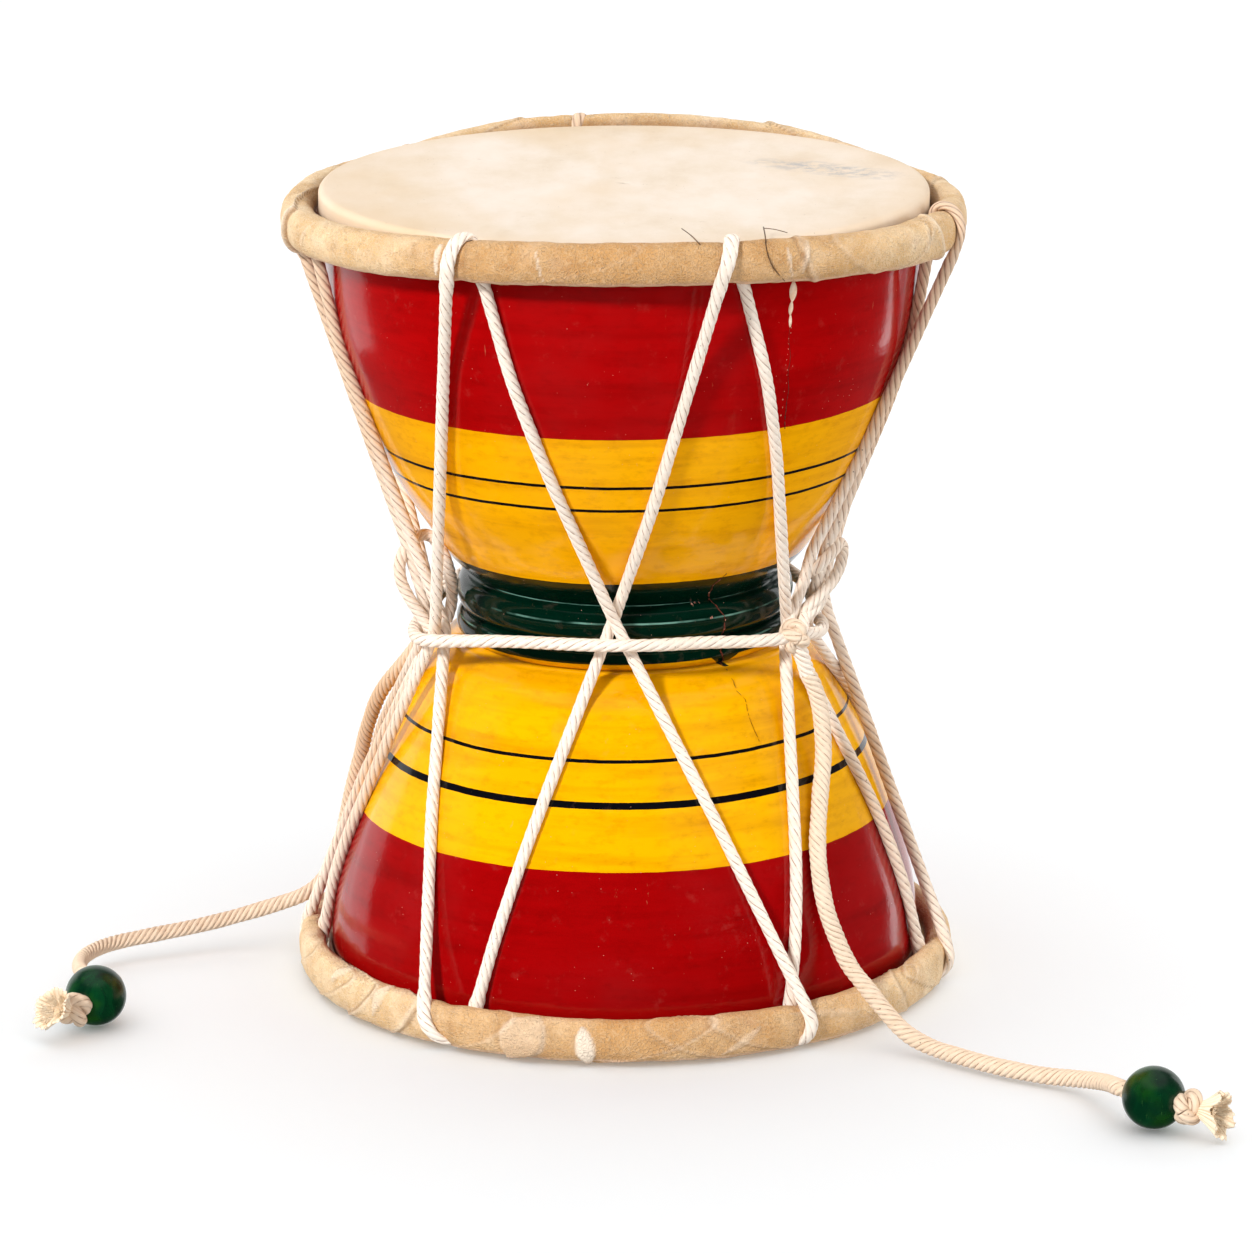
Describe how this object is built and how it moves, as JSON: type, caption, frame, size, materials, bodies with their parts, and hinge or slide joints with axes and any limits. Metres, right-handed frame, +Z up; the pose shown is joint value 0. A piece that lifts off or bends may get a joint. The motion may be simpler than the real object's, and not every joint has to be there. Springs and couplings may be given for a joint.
{
  "type": "hourglass drum",
  "caption": "Two-headed hourglass hand drum with laced skin heads, painted turned body and bead strikers on cords.",
  "frame": {"origin": "centre of the flat underside of the lower skin, on the drum's axis", "axes": "+Z up along the drum's axis, -Y towards the front, +X to the right seen from the front"},
  "size_m": [0.2889, 0.2235, 0.202],
  "materials": {
    "lacquer": "turned wood painted in red, yellow, black and dark green, high gloss",
    "parchment": "cream rawhide head, matt",
    "hide": "tan hide rolled around the hoop, wrinkled, matt",
    "cotton": "twisted cream cotton cord",
    "stained_wood": "green stained turned bead, gloss"
  },
  "bodies": {
    "root": {"shell": "lacquer", "upper_skin": "parchment", "lower_skin": "parchment", "upper_hoop": "hide", "lower_hoop": "hide", "lacing_cord": "cotton", "waist_cord": "cotton", "right_tail": "cotton", "left_tail": "cotton", "right_bead": "stained_wood", "right_end_knot": "cotton", "left_bead": "stained_wood", "left_end_knot": "cotton", "waist_knot": "cotton"}
  },
  "joints": []
}
